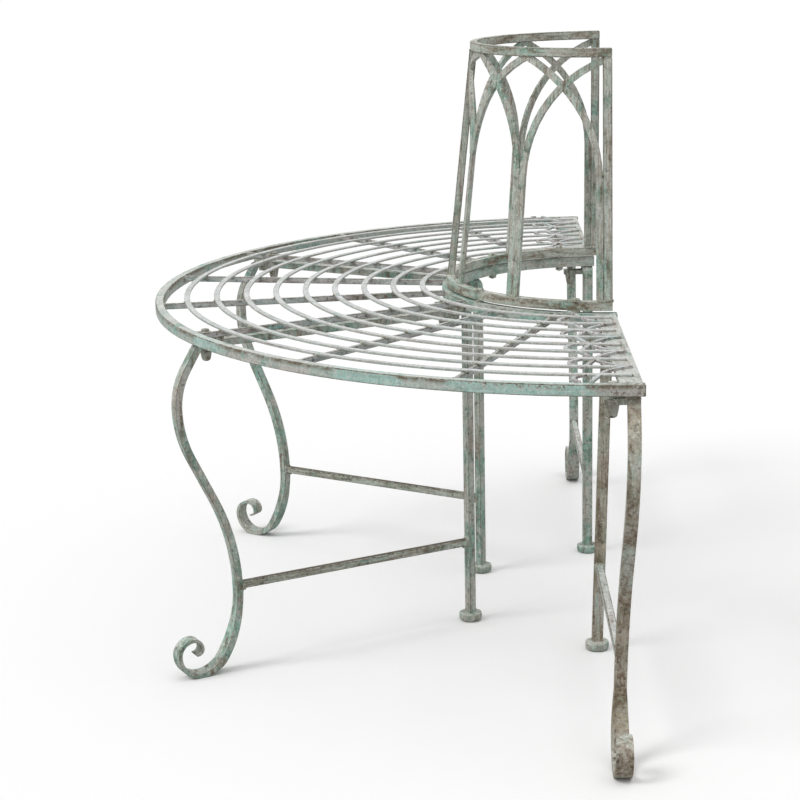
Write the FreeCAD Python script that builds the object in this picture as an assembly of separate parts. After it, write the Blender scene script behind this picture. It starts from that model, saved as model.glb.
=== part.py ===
import FreeCAD, Part
import math
import os

# Half-round slatted bench that stands around one side of a tree trunk
# All lengths are in millimetres and angles in degrees
# The origin is on the floor under the middle of the bench
# The open side that faces the other half lies at +Y and the seat bulges towards -Y
# Left and right are as seen from in front of the seat, with angle 0 at the front
# and +90 at the right end

# Seat sizes
RIM_RADIUS = 635.0
RIM_WIDE = 12.0
RIM_TALL = 14.0
SEAT_TOP = 470.0
INNER_RIM_RADIUS = 231.0
INNER_RIM_WIDE = 15.0
STRIP_COUNT = 9
STRIP_FIRST_INSET = 28.0
STRIP_LAST_INSET = 32.0
STRIP_WIDE = 8.0
STRIP_THICK = 3.0
RADIAL_ANGLES = (-70, -50, -30, -10, 10, 30, 50, 70)
RADIAL_WIDE = 6.0
RADIAL_TALL = 8.0
END_BAR_OUTER_GAP = 2.0
END_BAR_WIDE = 27.0
STRIP_END_GAP = 12.0

# End tracery sizes
TRACERY_WIDE = 5.0
TRACERY_FOOT_GAP = 10.0
TRACERY_BEND_RADIUS = 62.0
TRACERY_START_TURN = 70.0
TRACERY_END_TURN = 20.0
HOOK_DEPTH = 80.0
HOOK_RISE = 14.0

# Leg frame sizes
BAR_WIDE = 15.0
BAR_THICK = 9.5
INNER_LEG_RADIUS = 217.0
INNER_BEND_RADIUS = 8.0
TOP_BAR_TOP = 456.0
OUTER_BEND_INSET = 25.4
SHOULDER_BEND = 17.0
SHOULDER_TURN = 58.0
SHOULDER_STRAIGHT = 26.4
HIP_BEND = 96.0
THIGH_BEND = 157.0
THIGH_TURN = 26.0
CALF_BEND = 298.0
ANKLE_BEND = 165.0
SCROLL_BENDS = (42.0, 30.0, 20.0, 13.0, 8.0)
SCROLL_THICKS = (7.0, 5.5, 4.5, 3.5, 2.0)
SCROLL_LAST_TURN = 100.0
SCROLL_WEAR = 0.25
FOOT_HEIGHT = 12.0
FOOT_RADIUS = 16.5
FOOT_TOP_RADIUS = 10.0
FOOT_SIDES = 24
SCROLL_WIDE = 21.0
SCROLL_FLARE_TOP = 85.0
SCROLL_FLARE_BOTTOM = 35.0
STRETCHER_THICK = 10.0
STRETCHER_MID = 117.0

# Frame name: angle of its plane, its sideways shift from the radius, its lean at the floor,
# and the sideways place of its bolts
FRAMES = {
    "left_end": (-90, 10.0, 0.0, 35.0),
    "left_front": (-30, -18.0, 0.0, -38.0),
    "right_front": (30, -18.0, 0.0, -38.0),
    "right_end": (90, -12.0, -13.0, -35.0),
}

# Cleat, bolt and nut sizes
CLEAT_THICK = 6.0
CLEAT_LONG = 18.0
CLEAT_INNER_INSET = 11.0
CLEAT_OUTER_INSET = 35.0
CLEAT_EDGE = 10.0
CLEAT_LAP = 2.0
BOLT_RADIUS = 3.5
BOLT_HEAD_RADIUS = 5.5
BOLT_HEAD_TALL = 4.0
NUT_RADIUS = 7.0
NUT_TALL = 15.0
NUT_FLAT_TALL = 7.0
NUT_CAP_SIDES = 12

# Backrest sizes
BACK_FOOT_RADIUS = 218.5
BACK_TOP_RADIUS = 182.0
BACK_RAIL_TALL = 12.0
BACK_FOOT_WIDE = 12.0
BACK_TOP_WIDE = 10.5
BACK_GAP = 3.0
BACK_HEIGHT = 812.0
BACK_TURN = -1.5
END_POST_THICK = 12.0
MIDDLE_POST_THICK = 10.5
ARCH_WIDE = 9.0
ARCH_THICK = 5.0
ARCH_RISE = 156.0
ARCH_TIP_RISE = 20.0
BEND_STEPS = 12
OVERRUN = 3.0
PAIR_GAP = 0.3
END_POST_ANGLE = 90.0
PAIR_ANGLE = 53.0
SINGLE_ANGLE = 21.5
BACK_BOLT_ANGLES = (-76, -45, -8, 36, 76)
BACK_BOLT_RADIUS = 2.5
BACK_BOLT_HEAD_RADIUS = 5.5
BACK_BOLT_HEAD_TALL = 3.5
BACK_NUT_TALL = 6.0

# Sizes that follow from the ones above
FOOT_OVERHANG = FOOT_RADIUS - FRAMES["left_end"][1]
RING_Y = (RIM_RADIUS - FOOT_OVERHANG) / 2
RIM_FOOT = SEAT_TOP - RIM_TALL
RIM_INSIDE = RIM_RADIUS - RIM_WIDE
TRUNK_SIDE_RADIUS = INNER_RIM_RADIUS - INNER_RIM_WIDE
STRIP_TOP = SEAT_TOP + STRIP_THICK
RADIAL_FOOT = SEAT_TOP - RADIAL_TALL
STRIP_FIRST_RADIUS = INNER_RIM_RADIUS + STRIP_FIRST_INSET
STRIP_PITCH = (RIM_INSIDE - STRIP_LAST_INSET - STRIP_FIRST_RADIUS) / (STRIP_COUNT - 1)
STRIP_RADII = [STRIP_FIRST_RADIUS + i * STRIP_PITCH for i in range(STRIP_COUNT)]
TOP_BAR_FOOT = TOP_BAR_TOP - BAR_THICK
CLEAT_RADII = (INNER_RIM_RADIUS + CLEAT_INNER_INSET, RIM_RADIUS - CLEAT_OUTER_INSET)
BACK_FOOT_Z = SEAT_TOP + BACK_GAP
BARS_FOOT_Z = BACK_FOOT_Z + BACK_RAIL_TALL
BARS_TOP_Z = BACK_HEIGHT - BACK_RAIL_TALL
ARCH_SPRING = BARS_TOP_Z - ARCH_RISE
BACK_LEAN_IN = BACK_FOOT_RADIUS - BACK_TOP_RADIUS
BACK_LEAN_HEIGHT = (BARS_TOP_Z + BACK_HEIGHT) / 2 - (BACK_FOOT_Z + BARS_FOOT_Z) / 2
UPRIGHT_ANGLES = (-END_POST_ANGLE, -PAIR_ANGLE, -SINGLE_ANGLE, SINGLE_ANGLE, PAIR_ANGLE, END_POST_ANGLE)
BACK_BOLT_RING = (BACK_FOOT_RADIUS + (INNER_RIM_RADIUS + TRUNK_SIDE_RADIUS) / 2) / 2

Vector = FreeCAD.Vector
UP = Vector(0, 0, 1)


def polar(radius, angle, z=0.0):
    turn = math.radians(angle)
    return Vector(radius * math.sin(turn), RING_Y - radius * math.cos(turn), z)


def turned(shape, angle):
    """Lays a shape drawn along +X from the ring's centre along the given angle."""
    shape.rotate(Vector(0, 0, 0), UP, angle - 90)
    shape.translate(Vector(0, RING_Y, 0))
    return shape


def ring_sector(inner, outer, start, end, low, high):
    middle = (start + end) / 2
    edges = [
        Part.Arc(polar(outer, start, low), polar(outer, middle, low), polar(outer, end, low)).toShape(),
        Part.makeLine(polar(outer, end, low), polar(inner, end, low)),
        Part.Arc(polar(inner, end, low), polar(inner, middle, low), polar(inner, start, low)).toShape(),
        Part.makeLine(polar(inner, start, low), polar(outer, start, low)),
    ]
    return Part.Face(Part.Wire(edges)).extrude(Vector(0, 0, high - low))


def radial_box(angle, side, near, far, wide, low, high):
    box = Part.makeBox(far - near, wide, high - low, Vector(near, side - wide / 2, low))
    return turned(box, angle)


def biggest(shape):
    return max(shape.Solids, key=lambda solid: solid.Volume)


def upright_cylinder(place, radius, low, high):
    return Part.makeCylinder(radius, high - low, Vector(place.x, place.y, low))


def outline_of_sides(place, radius, sides, z):
    """A closed outline with that many equal flat sides."""
    corners = []
    for corner in range(sides + 1):
        turn = 2 * math.pi * corner / sides
        corners.append(Vector(place.x + radius * math.cos(turn), place.y + radius * math.sin(turn), z))
    return Part.makePolygon(corners)


def hexagon(place, radius, low, high):
    return Part.Face(outline_of_sides(place, radius, 6, low)).extrude(Vector(0, 0, high - low))


# Seat rims, end bars and radial bars

def seat_rims():
    outer = ring_sector(RIM_INSIDE, RIM_RADIUS, -90, 90, RIM_FOOT, SEAT_TOP)
    inner = ring_sector(TRUNK_SIDE_RADIUS, INNER_RIM_RADIUS, -90, 90, RIM_FOOT, SEAT_TOP)
    for angle in BACK_BOLT_ANGLES:
        hole = upright_cylinder(polar(BACK_BOLT_RING, angle), BACK_BOLT_RADIUS, RIM_FOOT - 1, SEAT_TOP + 1)
        inner = inner.cut(hole)
    return outer, inner


def seat_bars():
    between_rims = ring_sector(INNER_RIM_RADIUS, RIM_INSIDE, -100, 100, RADIAL_FOOT, SEAT_TOP)
    near = INNER_RIM_RADIUS - 10
    far = RIM_RADIUS
    bars = {}
    for name, angle in (("left", -90), ("right", 90)):
        side = (END_BAR_OUTER_GAP + END_BAR_WIDE / 2) * (-1 if angle > 0 else 1)
        bar = radial_box(angle, side, near, far, END_BAR_WIDE, RADIAL_FOOT, SEAT_TOP)
        bars["seat_end_bar_" + name] = bar.common(between_rims)
    for number, angle in enumerate(RADIAL_ANGLES, 1):
        bar = radial_box(angle, 0, near, far, RADIAL_WIDE, RADIAL_FOOT, SEAT_TOP)
        bars["seat_radial_" + str(number)] = bar.common(between_rims)
    return bars


def seat_strip(radius):
    end_angle = 90 - math.degrees(math.asin(STRIP_END_GAP / radius))
    inner = radius - STRIP_WIDE / 2
    outer = radius + STRIP_WIDE / 2
    return ring_sector(inner, outer, -end_angle, end_angle, SEAT_TOP, STRIP_TOP)


# Small arches that fill both ends of the seat

def bent_strip(points, wide, low, high):
    """A flat strip along a plan line made of one arc and one straight run."""
    start, middle, join, end = points
    arc = Part.Arc(start, middle, join).toShape()
    run = Part.makeLine(join, end)
    path = Part.Wire([arc, run])
    grown = path.makeOffset2D(wide / 2, 0, False, False)
    grown.translate(Vector(0, 0, low))
    return Part.Face(grown).extrude(Vector(0, 0, high - low))


def tracery_arch(foot_radius, way):
    """One small arch from a strip's end outwards or inwards, drawn for the right end."""
    first = math.radians(TRACERY_START_TURN)
    half = math.radians((TRACERY_START_TURN + TRACERY_END_TURN) / 2)
    last = math.radians(TRACERY_END_TURN)

    def on_bend(turn):
        across = TRACERY_BEND_RADIUS * (math.sin(first) - math.sin(turn))
        along = TRACERY_BEND_RADIUS * (math.cos(turn) - math.cos(first))
        return Vector(foot_radius + way * across, RING_Y - TRACERY_FOOT_GAP - along, 0)

    join = on_bend(last)
    reach = foot_radius + way * 2 * STRIP_PITCH
    run = abs(reach - join.x)
    end = Vector(reach, join.y - run * math.tan(last), 0)
    points = (on_bend(first), on_bend(half), join, end)
    return bent_strip(points, TRACERY_WIDE, SEAT_TOP, STRIP_TOP)


def tracery_hook(low_radius, high_radius):
    """A half-round rod that joins two neighbouring strips, drawn for the right end."""
    middle = (low_radius + high_radius) / 2
    start = Vector(low_radius, RING_Y - HOOK_DEPTH + HOOK_RISE, 0)
    top = Vector(middle, RING_Y - HOOK_DEPTH, 0)
    end = Vector(high_radius, RING_Y - HOOK_DEPTH + HOOK_RISE, 0)
    path = Part.Wire([Part.Arc(start, top, end).toShape()])
    grown = path.makeOffset2D(TRACERY_WIDE / 2, 0, False, False)
    grown.translate(Vector(0, 0, SEAT_TOP))
    return Part.Face(grown).extrude(Vector(0, 0, STRIP_THICK))


def end_tracery(strips):
    arches = None
    for foot in STRIP_RADII[1::2]:
        for way in (-1, 1):
            arch = tracery_arch(foot, way)
            arches = arch if arches is None else arches.fuse(arch)
    for index in range(0, STRIP_COUNT, 2):
        low = STRIP_RADII[index]
        high = STRIP_RADII[index + 1] if index + 1 < STRIP_COUNT else RIM_INSIDE + RIM_WIDE / 2
        arches = arches.fuse(tracery_hook(low, high))
    inside = ring_sector(INNER_RIM_RADIUS - 4, RIM_INSIDE + 4, 0, 90, SEAT_TOP, STRIP_TOP)
    arches = arches.common(inside)
    for strip in strips:
        arches = arches.cut(strip)
    pieces = [solid for solid in arches.removeSplitter().Solids if solid.Volume > 40]
    right = Part.Compound(pieces)
    left = right.mirror(Vector(0, 0, 0), Vector(1, 0, 0))
    return left, right


# Leg frames: one flat bar bent into an inner leg, a top bar and a scrolled outer leg

def bar_outline():
    """Walks along the middle of the bar and returns the closed outline as edges.

    Each step is a bend radius with the turn in degrees, positive for a turn to the right
    of the walk, or a straight length, and the bar's thickness at its end.
    """
    start_z = FOOT_HEIGHT / 2
    inner_leg_run = TOP_BAR_TOP - BAR_THICK / 2 - INNER_BEND_RADIUS - start_z
    top_run = RIM_RADIUS - OUTER_BEND_INSET - INNER_LEG_RADIUS - INNER_BEND_RADIUS
    hip_turn = 90 - SHOULDER_TURN
    steep = math.radians(90 - THIGH_TURN)
    level = math.radians(SHOULDER_TURN)
    drop = SHOULDER_BEND * (1 - math.cos(level)) + SHOULDER_STRAIGHT * math.sin(level)
    drop += (HIP_BEND + ANKLE_BEND) * math.cos(level) + (THIGH_BEND + CALF_BEND) * math.cos(steep)
    drop += SCROLL_BENDS[0] * (1 - math.cos(level)) + SCROLL_THICKS[0] / 2 - SCROLL_WEAR
    shin_run = (TOP_BAR_TOP - BAR_THICK / 2 - drop) / math.sin(steep)
    steps = [
        ("straight", inner_leg_run, BAR_THICK),
        ("bend", INNER_BEND_RADIUS, 90.0, BAR_THICK),
        ("straight", top_run, BAR_THICK),
        ("bend", SHOULDER_BEND, SHOULDER_TURN, BAR_THICK),
        ("straight", SHOULDER_STRAIGHT, BAR_THICK),
        ("bend", HIP_BEND, hip_turn, BAR_THICK),
        ("bend", THIGH_BEND, THIGH_TURN, BAR_THICK),
        ("straight", shin_run, BAR_THICK),
        ("bend", CALF_BEND, -THIGH_TURN, BAR_THICK),
        ("bend", ANKLE_BEND, -hip_turn, BAR_THICK),
    ]
    scroll_turns = (SHOULDER_TURN, 90.0, 90.0, 90.0, SCROLL_LAST_TURN)
    for radius, turn, end_thick in zip(SCROLL_BENDS, scroll_turns, SCROLL_THICKS):
        steps.append(("bend", radius, -turn, end_thick))
    place = Vector(INNER_LEG_RADIUS, 0, start_z)
    heading = 90.0
    thick = BAR_THICK
    left_edges = []
    right_edges = []

    def sides(point, direction, width):
        turn = math.radians(direction + 90)
        normal = Vector(math.cos(turn), 0, math.sin(turn))
        return point + normal * (width / 2), point - normal * (width / 2)

    first_left, first_right = sides(place, heading, thick)
    left, right = first_left, first_right
    for step in steps:
        next_thick = step[-1]
        if step[0] == "straight":
            turn = math.radians(heading)
            place = place + Vector(math.cos(turn), 0, math.sin(turn)) * step[1]
            next_left, next_right = sides(place, heading, next_thick)
            left_edges.append(Part.makeLine(left, next_left))
            right_edges.append(Part.makeLine(right, next_right))
        else:
            radius, turn = step[1], step[2]
            way = 1 if turn < 0 else -1
            to_centre = math.radians(heading + 90 * way)
            centre = place + Vector(math.cos(to_centre), 0, math.sin(to_centre)) * radius
            stations = []
            for share in (0.5, 1.0):
                angle = math.radians(heading + 90 * way + 180 - turn * share)
                point = centre + Vector(math.cos(angle), 0, math.sin(angle)) * radius
                width = thick + (next_thick - thick) * share
                stations.append((point, sides(point, heading - turn * share, width)))
            place = stations[1][0]
            heading = heading - turn
            next_left, next_right = stations[1][1]
            left_edges.append(Part.Arc(left, stations[0][1][0], next_left).toShape())
            right_edges.append(Part.Arc(right, stations[0][1][1], next_right).toShape())
        left, right = next_left, next_right
        thick = next_thick
    edges = left_edges + [Part.makeLine(left, right)] + right_edges[::-1]
    edges.append(Part.makeLine(first_left, first_right))
    return edges


def leg_frame_bar():
    outline = Part.Wire(Part.__sortEdges__(bar_outline()))
    face = Part.Face(outline)
    narrow = face.extrude(Vector(0, BAR_WIDE, 0))
    narrow.translate(Vector(0, -BAR_WIDE / 2, 0))
    wide = face.extrude(Vector(0, SCROLL_WIDE, 0))
    wide.translate(Vector(0, -SCROLL_WIDE / 2, 0))
    return narrow.fuse(wide.common(scroll_flare())).removeSplitter()


def scroll_flare():
    """The space that the widened scroll keeps to, seen along the bench's radius."""
    half = SCROLL_WIDE / 2
    slim = BAR_WIDE / 2
    top = SCROLL_FLARE_TOP
    knee = SCROLL_FLARE_BOTTOM
    base = -BAR_THICK
    near = INNER_LEG_RADIUS * 2
    bulge = Vector(near, slim + (half - slim) * 0.72, (top + knee) / 2 - BAR_THICK / 2)
    mirror_bulge = Vector(near, -bulge.y, bulge.z)
    corners = [Vector(near, slim, top), Vector(near, half, knee), Vector(near, half, base),
               Vector(near, -half, base), Vector(near, -half, knee), Vector(near, -slim, top)]
    edges = [
        Part.Arc(corners[0], bulge, corners[1]).toShape(),
        Part.makeLine(corners[1], corners[2]),
        Part.makeLine(corners[2], corners[3]),
        Part.makeLine(corners[3], corners[4]),
        Part.Arc(corners[4], mirror_bulge, corners[5]).toShape(),
        Part.makeLine(corners[5], corners[0]),
    ]
    return Part.Face(Part.Wire(edges)).extrude(Vector(RIM_RADIUS, 0, 0))


def foot_button():
    """A bevelled disc under the inner leg, drawn around its own axis."""
    levels = [(FOOT_RADIUS * 0.85, 0), (FOOT_RADIUS, FOOT_HEIGHT * 0.2),
              (FOOT_RADIUS * 0.88, FOOT_HEIGHT * 0.65), (FOOT_TOP_RADIUS, FOOT_HEIGHT)]
    centre = Vector(0, 0, 0)
    outlines = [outline_of_sides(centre, radius, FOOT_SIDES, z) for radius, z in levels]
    return Part.makeLoft(outlines, True, True)


def leg_set(angle, side, lean):
    """The bent bar, stretcher and foot of one frame."""
    bar = leg_frame_bar()
    lean_angle = math.degrees(math.asin(lean / TOP_BAR_TOP))
    bar.rotate(Vector(0, 0, TOP_BAR_TOP), Vector(1, 0, 0), lean_angle)
    under_leg = 2 * FOOT_RADIUS
    over_foot = Part.makeBox(under_leg, 3 * under_leg, under_leg,
                             Vector(INNER_LEG_RADIUS - under_leg / 2, -under_leg * 1.5, FOOT_HEIGHT - under_leg))
    floor = Part.makeBox(2 * RIM_RADIUS, RIM_RADIUS, RIM_RADIUS, Vector(0, -RIM_RADIUS / 2, -RIM_RADIUS))
    bar = bar.cut(over_foot).cut(floor)
    floor_side = lean * (1 - FOOT_HEIGHT / TOP_BAR_TOP)
    foot = foot_button()
    foot.translate(Vector(INNER_LEG_RADIUS, floor_side, 0))
    half = STRETCHER_THICK / 2
    stretcher_side = lean * (1 - STRETCHER_MID / TOP_BAR_TOP)
    stretcher = Part.makeBox(RIM_RADIUS - INNER_LEG_RADIUS - SCROLL_BENDS[0], STRETCHER_THICK, STRETCHER_THICK,
                             Vector(INNER_LEG_RADIUS, stretcher_side - half, STRETCHER_MID - half))
    stretcher = biggest(stretcher.cut(bar))
    pieces = []
    for shape in (bar, stretcher, foot):
        shape.translate(Vector(0, side, 0))
        pieces.append(turned(shape, angle))
    return pieces


# Cleats that hold the leg frames under the seat, with their bolts and nuts

def cleat_set(angle, side, bolt_side):
    """Upper and lower cleats, bolts and nuts of one frame."""
    bolt_way = 1 if bolt_side > side else -1
    outer_edge = bolt_side + bolt_way * CLEAT_EDGE
    low_edge = side - bolt_way * BAR_WIDE / 2
    high_edge = -bolt_way * CLEAT_LAP
    if abs(angle) == 90:
        high_edge = bolt_way * END_BAR_OUTER_GAP
    cleats = []
    bolts = []
    nuts = []
    for radius in CLEAT_RADII:
        near = radius - CLEAT_LONG / 2
        place = Vector(radius, bolt_side, 0)
        hole = upright_cylinder(place, BOLT_RADIUS, 0, SEAT_TOP)
        for edge, low in ((high_edge, TOP_BAR_TOP), (low_edge, TOP_BAR_FOOT - CLEAT_THICK)):
            long = abs(outer_edge - edge)
            start = Vector(near, min(outer_edge, edge), low)
            plate = Part.makeBox(CLEAT_LONG, long, CLEAT_THICK, start)
            cleats.append(turned(plate.cut(hole), angle))
        head_low = TOP_BAR_TOP + CLEAT_THICK
        nut_top = TOP_BAR_FOOT - CLEAT_THICK
        nut_knee = nut_top - NUT_FLAT_TALL
        shank = upright_cylinder(place, BOLT_RADIUS, nut_knee, head_low)
        head = hexagon(place, BOLT_HEAD_RADIUS, head_low, head_low + BOLT_HEAD_TALL)
        cap = Part.makeLoft([outline_of_sides(place, NUT_RADIUS / 2, NUT_CAP_SIDES, nut_top - NUT_TALL),
                             outline_of_sides(place, NUT_RADIUS * 0.85, NUT_CAP_SIDES, nut_knee)], True, True)
        nut = hexagon(place, NUT_RADIUS, nut_knee, nut_top).fuse(cap)
        bolts.append(turned(shank.fuse(head), angle))
        nuts.append(turned(nut.cut(shank), angle))
    return cleats, bolts, nuts


# Backrest: two rails, end posts and crossing arch bars that lean in towards the trunk

def back_radius(z):
    middle = (BACK_FOOT_Z + BARS_FOOT_Z) / 2
    return BACK_FOOT_RADIUS - BACK_LEAN_IN * (z - middle) / BACK_LEAN_HEIGHT


def back_rail(radius, wide, low):
    start = BACK_TURN - END_POST_ANGLE
    end = BACK_TURN + END_POST_ANGLE
    return ring_sector(radius - wide / 2, radius + wide / 2, start, end, low, low + BACK_RAIL_TALL)


def leaning_block(angle, inner_shift, outer_shift, start, wide):
    """A block that leans with the backrest, between two shifts from its middle surface."""
    low = BARS_FOOT_Z
    high = BARS_TOP_Z
    points = [Vector(back_radius(low) + inner_shift, 0, low), Vector(back_radius(low) + outer_shift, 0, low),
              Vector(back_radius(high) + outer_shift, 0, high), Vector(back_radius(high) + inner_shift, 0, high)]
    block = Part.Face(Part.makePolygon(points + points[:1])).extrude(Vector(0, wide, 0))
    block.translate(Vector(0, start, 0))
    return turned(block, BACK_TURN + angle)


def square_post(angle, start, thick):
    return leaning_block(angle, -thick / 2, thick / 2, start, thick)


def start_side(upright):
    """How far beside an upright's line the middle of its arch bar stands."""
    if abs(upright) == END_POST_ANGLE:
        return END_POST_THICK + (PAIR_GAP + ARCH_WIDE) / 2
    if abs(upright) == PAIR_ANGLE:
        return (PAIR_GAP + ARCH_WIDE) / 2
    return 0.0


def arch_section(upright, way, side, z, tilt):
    """Section of an arch bar at height z, square to the bar's run."""
    angle = BACK_TURN + upright + way * math.degrees(side / back_radius(z))
    centre = polar(back_radius(z), angle, z)
    turn = math.radians(angle)
    outwards = Vector(math.sin(turn), -math.cos(turn), 0)
    sideways = Vector(math.cos(turn), math.sin(turn), 0) * way
    lean = math.atan2(BACK_LEAN_IN, BACK_LEAN_HEIGHT)
    rising = UP * math.cos(lean) - outwards * math.sin(lean)
    facing = outwards * math.cos(lean) + UP * math.sin(lean)
    across = (sideways * math.cos(tilt) - rising * math.sin(tilt)) * (ARCH_WIDE / 2)
    through = facing * (ARCH_THICK / 2)
    corners = [centre - across - through, centre + across - through,
               centre + across + through, centre - across + through]
    return Part.makePolygon(corners + corners[:1])


def arch_bar(upright, neighbour, low):
    """One bar that stands at an upright and bends over to the next upright's top."""
    way = 1 if neighbour > upright else -1
    side = start_side(upright)
    bay_run = math.radians(abs(neighbour - upright)) * back_radius(BARS_TOP_Z)
    reach = bay_run - side
    bend = (reach ** 2 + ARCH_RISE ** 2) / (2 * reach)
    top_turn = math.asin(min(0.995, (ARCH_RISE + OVERRUN) / bend))
    straight = Part.makeLoft([arch_section(upright, way, side, BARS_FOOT_Z - OVERRUN, 0),
                              arch_section(upright, way, side, ARCH_SPRING, 0)], True, True)
    sections = []
    for step in range(BEND_STEPS + 1):
        turn = top_turn * step / BEND_STEPS
        across = side + bend * (1 - math.cos(turn))
        sections.append(arch_section(upright, way, across, ARCH_SPRING + bend * math.sin(turn), turn))
    bar = straight.fuse(Part.makeLoft(sections, True, True))
    own_side = upright - way * math.degrees(ARCH_WIDE / BACK_TOP_RADIUS)
    start = BACK_TURN + min(own_side, neighbour)
    end = BACK_TURN + max(own_side, neighbour)
    bay = ring_sector(BACK_TOP_RADIUS / 2, RIM_RADIUS / 2, start, end, low, BARS_TOP_Z)
    return bar.common(bay)


def back_arches():
    """Ten arch bars, two in each bay, halved into each other where they cross."""
    across = BACK_TOP_RADIUS / 2
    bars = []
    for left, right in zip(UPRIGHT_ANGLES[:-1], UPRIGHT_ANGLES[1:]):
        low = ARCH_SPRING + ARCH_TIP_RISE if left == -right else BARS_FOOT_Z
        first = arch_bar(left, right, low)
        second = arch_bar(right, left, low)
        outer_half = leaning_block((left + right) / 2, 0, across, -across, 2 * across)
        inner_half = leaning_block((left + right) / 2, -across, 0, -across, 2 * across)
        crossing = first.common(second)
        first = biggest(first.cut(crossing.common(outer_half)))
        second = biggest(second.cut(crossing.common(inner_half)))
        bars += [first, second]
    short = len(bars) // 2 - 1
    bars[short] = bars[short].cut(bars[short - 1])
    bars[short + 1] = bars[short + 1].cut(bars[short + 2])
    return bars


def back_fixings():
    spacers = []
    bolts = []
    nuts = []
    for angle in BACK_BOLT_ANGLES:
        place = polar(BACK_BOLT_RING, angle)
        hole = upright_cylinder(place, BACK_BOLT_RADIUS, 0, BACK_HEIGHT)
        spacer = upright_cylinder(place, BACK_BOLT_HEAD_RADIUS, SEAT_TOP, BACK_FOOT_Z)
        spacers.append(spacer.cut(hole))
        shank = upright_cylinder(place, BACK_BOLT_RADIUS, RIM_FOOT - BACK_NUT_TALL, BARS_FOOT_Z)
        head = hexagon(place, BACK_BOLT_HEAD_RADIUS, BARS_FOOT_Z, BARS_FOOT_Z + BACK_BOLT_HEAD_TALL)
        nut = hexagon(place, BACK_BOLT_HEAD_RADIUS, RIM_FOOT - BACK_NUT_TALL, RIM_FOOT)
        bolts.append(shank.fuse(head))
        nuts.append(nut.cut(hole))
    return spacers, bolts, nuts


# All pieces together

def all_pieces():
    pieces = {}
    outer_rim, inner_rim = seat_rims()
    pieces["seat_outer_rim"] = outer_rim
    pieces["seat_inner_rim"] = inner_rim
    pieces.update(seat_bars())
    strips = [seat_strip(radius) for radius in STRIP_RADII]
    for number, strip in enumerate(strips, 1):
        pieces["seat_strip_" + str(number)] = strip
    pieces["end_tracery_left"], pieces["end_tracery_right"] = end_tracery(strips)

    cleats = []
    bolts = []
    nuts = []
    for name, (angle, side, lean, bolt_side) in FRAMES.items():
        bar, stretcher, foot = leg_set(angle, side, lean)
        frame_cleats, frame_bolts, frame_nuts = cleat_set(angle, side, bolt_side)
        pieces["leg_frame_" + name] = bar.cut(frame_cleats).cut(inner_rim)
        pieces["leg_stretcher_" + name] = stretcher
        pieces["leg_foot_" + name] = foot
        cleats += frame_cleats
        bolts += frame_bolts
        nuts += frame_nuts
    pieces["leg_cleats"] = Part.Compound(cleats)
    pieces["leg_bolts"] = Part.Compound(bolts)
    pieces["leg_nuts"] = Part.Compound(nuts)

    bottom_rail = back_rail(BACK_FOOT_RADIUS, BACK_FOOT_WIDE, BACK_FOOT_Z)
    for angle in BACK_BOLT_ANGLES:
        hole = upright_cylinder(polar(BACK_BOLT_RING, angle), BACK_BOLT_RADIUS, 0, BACK_HEIGHT)
        bottom_rail = bottom_rail.cut(hole)
    pieces["back_bottom_rail"] = bottom_rail
    pieces["back_top_rail"] = back_rail(BACK_TOP_RADIUS, BACK_TOP_WIDE, BARS_TOP_Z)
    posts = {
        "back_end_post_left": square_post(-END_POST_ANGLE, 0, END_POST_THICK),
        "back_middle_post": square_post(0, -MIDDLE_POST_THICK / 2, MIDDLE_POST_THICK),
        "back_end_post_right": square_post(END_POST_ANGLE, -END_POST_THICK, END_POST_THICK),
    }
    pieces.update(posts)
    bars = back_arches()
    for number, bar in enumerate(bars, 1):
        for post in posts.values():
            bar = bar.cut(post)
        pieces["back_arch_bar_" + str(number)] = bar
    spacers, back_bolts, back_nuts = back_fixings()
    pieces["back_spacers"] = Part.Compound(spacers)
    pieces["back_bolts"] = Part.Compound(back_bolts)
    pieces["back_nuts"] = Part.Compound(back_nuts)
    return pieces


os.makedirs("parts", exist_ok=True)
for node, shape in all_pieces().items():
    shape.exportStep("parts/" + node + ".step")
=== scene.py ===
import math
import random

import bmesh
import bpy
from mathutils import Matrix, Vector, noise


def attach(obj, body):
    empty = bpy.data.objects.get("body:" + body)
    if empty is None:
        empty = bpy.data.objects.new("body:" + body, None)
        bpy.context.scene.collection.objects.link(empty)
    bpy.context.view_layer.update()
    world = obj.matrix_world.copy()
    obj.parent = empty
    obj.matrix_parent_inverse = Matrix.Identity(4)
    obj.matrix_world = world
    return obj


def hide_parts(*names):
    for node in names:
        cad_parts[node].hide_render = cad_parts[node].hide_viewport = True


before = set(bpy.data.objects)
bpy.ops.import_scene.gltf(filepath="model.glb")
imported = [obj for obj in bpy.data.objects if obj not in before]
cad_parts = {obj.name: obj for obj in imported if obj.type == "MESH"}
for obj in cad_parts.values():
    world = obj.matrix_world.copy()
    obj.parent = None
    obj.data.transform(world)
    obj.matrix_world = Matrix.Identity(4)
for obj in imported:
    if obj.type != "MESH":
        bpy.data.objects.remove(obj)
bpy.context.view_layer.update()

# The seat, in millimetres, with its rings around one middle, angle 0 at the front and +90 at the right end
MM = 0.001
RING_Y = 314.25
SEAT_TOP = 470.0
RADIAL_FOOT = 462.0
INNER_RIM_RADIUS = 231.0
RIM_INSIDE = 623.0
STRIP_RADII = [259.0 + 41.5 * i for i in range(9)]
STRIP_WIDE = 8.0
STRIP_END_GAP = 12.0
END_BAR_EDGE = 29.0
END_BAR_GAP = 2.0
END_ANGLES = (-90.0, 90.0)
RADIAL_ANGLES = (-70, -50, -30, -10, 10, 30, 50, 70)
RADIAL_WIDE = 6.0
RADIAL_TALL = 8.0

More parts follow.
